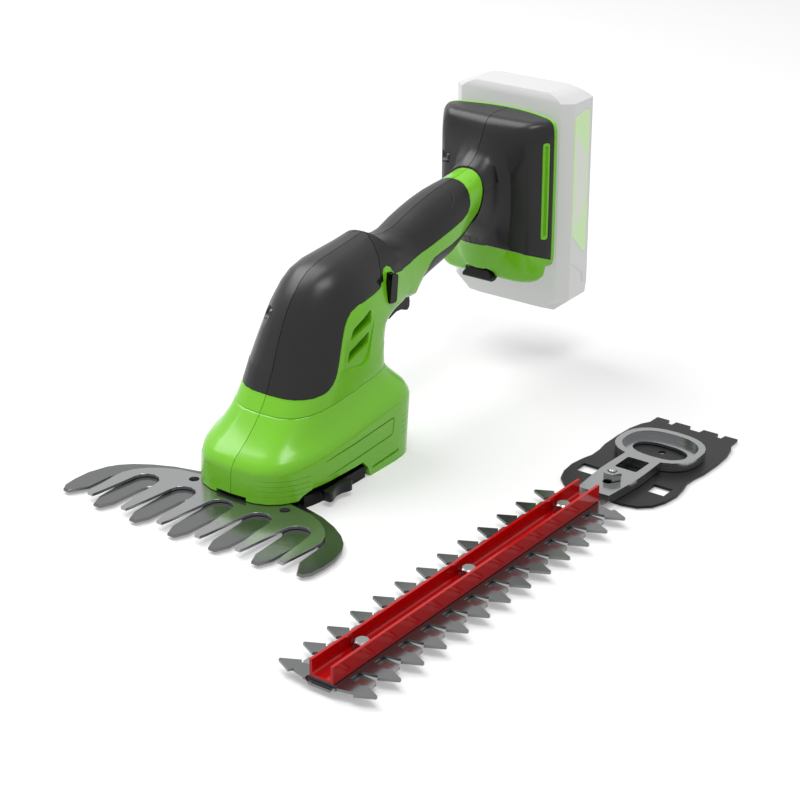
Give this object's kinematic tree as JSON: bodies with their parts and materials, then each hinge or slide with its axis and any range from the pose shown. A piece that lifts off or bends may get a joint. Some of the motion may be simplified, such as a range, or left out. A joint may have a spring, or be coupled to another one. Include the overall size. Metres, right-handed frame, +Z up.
{
  "type": "cordless shrub shears",
  "caption": "Hand-held battery garden shears with a toothed grass blade fitted and a long loose hedge blade lying beside it.",
  "frame": {"origin": "on the floor under the middle of the head's sole, on the tool's mid-plane", "axes": "+Z up, -Y along the grass blade's teeth, +Y towards the battery, +X towards the loose hedge blade"},
  "size_m": [0.2329, 0.3515, 0.1454],
  "materials": {
    "lime_plastic": "gloss moulded, lime green",
    "black_plastic": "satin moulded, black",
    "soft_black": "soft-touch, black",
    "gloss_black": "gloss, black",
    "dark_grey": "satin, dark grey",
    "black_plate": "satin black coating",
    "dark_steel": "dark coated steel",
    "blade_steel": "ground steel",
    "pale_steel": "pale ground steel",
    "bright_steel": "bright plated",
    "red_paint": "gloss red paint",
    "battery_plastic": "satin, pale grey",
    "panel_green": "satin, pale green",
    "brass": "plain",
    "motor_can": "drawn steel",
    "cast_metal": "die cast"
  },
  "bodies": {
    "tool": {"housing_left": "lime_plastic", "housing_right": "lime_plastic", "dock_frame": "lime_plastic", "dock_pill_left": "lime_plastic", "dock_pill_right": "lime_plastic", "hood_left": "black_plastic", "hood_right": "black_plastic", "dock_left": "black_plastic", "dock_right": "black_plastic", "grip_left": "soft_black", "grip_right": "soft_black", "undergrip_left": "soft_black", "undergrip_right": "soft_black", "grass_mount_plate": "soft_black", "switch_body": "soft_black", "hedge_mount_plate": "black_plate", "grass_fixed_blade": "dark_steel", "hedge_guard": "blade_steel", "gearbox_cover": "pale_steel", "hood_screw": "bright_steel", "dock_screw": "bright_steel", "base_screw": "bright_steel", "gear_shaft": "bright_steel", "blade_rivet_left": "bright_steel", "blade_rivet_right": "bright_steel", "trigger_pin": "bright_steel", "latch_pin": "bright_steel", "channel_bolt_1": "bright_steel", "channel_bolt_2": "bright_steel", "channel_bolt_3": "bright_steel", "channel_nut_1": "bright_steel", "channel_nut_2": "bright_steel", "channel_nut_3": "bright_steel", "rear_bolt": "bright_steel", "rear_nut": "bright_steel", "hedge_channel": "red_paint", "terminal_block": "brass", "motor": "motor_can", "gearbox_housing": "cast_metal"},
    "drive_gear": {"drive_gear": "blade_steel"},
    "motor_pinion": {"motor_pinion": "brass"},
    "grass_blade": {"grass_moving_blade": "blade_steel"},
    "hedge_blade": {"hedge_moving_blade": "pale_steel"},
    "release_right": {"release_button_right": "soft_black"},
    "release_left": {"release_button_left": "soft_black"},
    "trigger": {"trigger": "dark_grey"},
    "lock_off": {"lock_off_bar": "gloss_black"},
    "latch": {"battery_latch": "dark_grey"},
    "battery": {"battery_case": "battery_plastic", "battery_cover": "battery_plastic", "battery_panel_left": "panel_green", "battery_panel_right": "panel_green", "battery_contacts": "soft_black"}
  },
  "joints": [
    {"name": "gear_turn", "type": "hinge", "parent": "tool", "child": "drive_gear", "pos_m": [0, -0.004, 0.0134], "axis": [0, 0, 1], "range_deg": [-50, 94]},
    {"name": "pinion_turn", "type": "hinge", "parent": "tool", "child": "motor_pinion", "pos_m": [0, 0.0128, 0.0134], "axis": [0, 0, 1], "range_deg": [-312, 170]},
    {"name": "grass_blade_slide", "type": "slide", "parent": "tool", "child": "grass_blade", "axis": [1, 0, 0], "range_m": [-0.0054, 0.0029]},
    {"name": "hedge_blade_slide", "type": "slide", "parent": "tool", "child": "hedge_blade", "axis": [0, 1, 0], "range_m": [-0.004, 0.004]},
    {"name": "release_right_press", "type": "slide", "parent": "tool", "child": "release_right", "axis": [-1, 0, 0], "range_m": [0, 0.0018], "stiffness_N_per_m": 800},
    {"name": "release_left_press", "type": "slide", "parent": "tool", "child": "release_left", "axis": [1, 0, 0], "range_m": [0, 0.0018], "stiffness_N_per_m": 800},
    {"name": "trigger_pull", "type": "hinge", "parent": "tool", "child": "trigger", "pos_m": [0, 0.0586, 0.0716], "axis": [1, 0, 0], "range_deg": [0, 7], "stiffness_Nm_per_rad": 0.5},
    {"name": "lock_off_slide", "type": "slide", "parent": "tool", "child": "lock_off", "axis": [1, 0, 0], "range_m": [-0.002, 0.002], "stiffness_N_per_m": 800},
    {"name": "latch_press", "type": "hinge", "parent": "tool", "child": "latch", "pos_m": [0, 0.1516, 0.0564], "axis": [-1, 0, 0], "range_deg": [0, 8], "stiffness_Nm_per_rad": 0.5},
    {"name": "battery_slide", "type": "slide", "parent": "tool", "child": "battery", "axis": [0, 0, -1], "range_m": [0, 0.025]}
  ],
  "couplings": [
    {"joint": "pinion_turn", "follows": "gear_turn", "ratio": -3.2},
    {"joint": "grass_blade_slide", "follows": "gear_turn", "m_per_rad": -0.0032}
  ]
}
